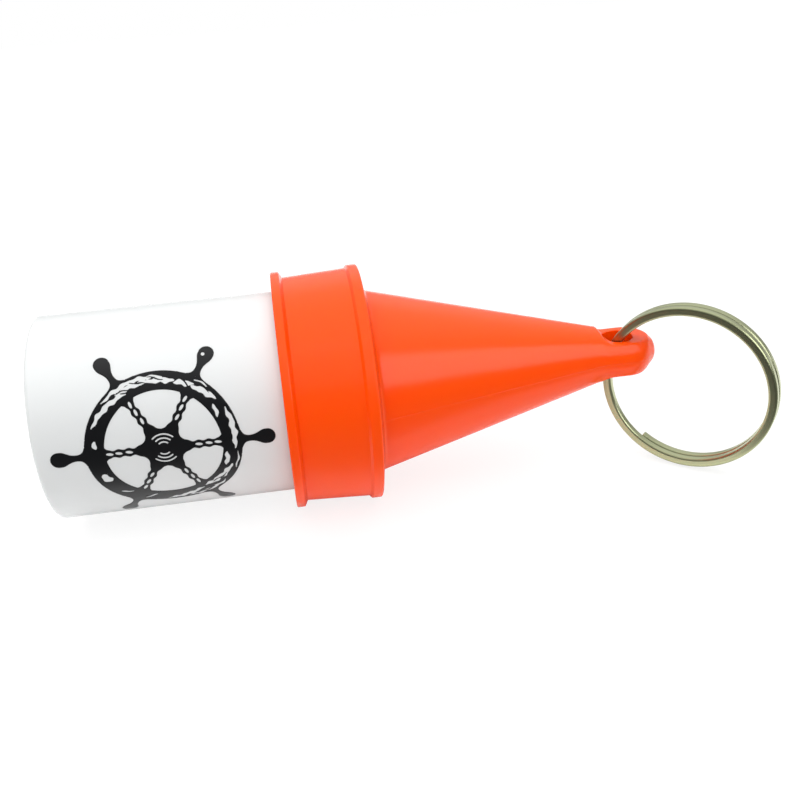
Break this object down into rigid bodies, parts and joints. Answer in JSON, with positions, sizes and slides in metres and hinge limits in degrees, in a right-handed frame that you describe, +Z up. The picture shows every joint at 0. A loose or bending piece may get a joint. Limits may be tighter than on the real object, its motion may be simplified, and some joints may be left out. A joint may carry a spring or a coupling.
{
  "type": "floating key fob",
  "caption": "Small buoy-shaped float for keys: a closed tube pushed into a cone cap whose flat-sided lug carries a split ring",
  "frame": {"origin": "middle of the closed end's flat outer face, on the float's axis; the float lies on the cap's two flanges, 18.9 mm below the axis", "axes": "+X along the float's axis from the closed end to the ring, +Z up as it lies and along the lug's hole, +Y across"},
  "size_m": [0.1128, 0.0378, 0.0378],
  "materials": {
    "white_plastic": "moulded satin-gloss white",
    "orange_plastic": "moulded satin-gloss signal orange",
    "plated_wire": "nickel-plated spring wire",
    "print_ink": "pad-printed black ink, drawn in the visual only"
  },
  "bodies": {
    "tube": {"float_tube": "white_plastic"},
    "cap": {"float_cap": "orange_plastic"},
    "ring": {"split_ring": "plated_wire"}
  },
  "joints": [
    {"name": "cap_pull", "type": "slide", "parent": "tube", "child": "cap", "axis": [1, 0, 0], "range_m": [0, 0.012]},
    {"name": "ring_swing", "type": "hinge", "parent": "cap", "child": "ring", "pos_m": [0.0915, 0, 0], "axis": [0, 0, 1], "range_deg": [-108, 186]}
  ]
}
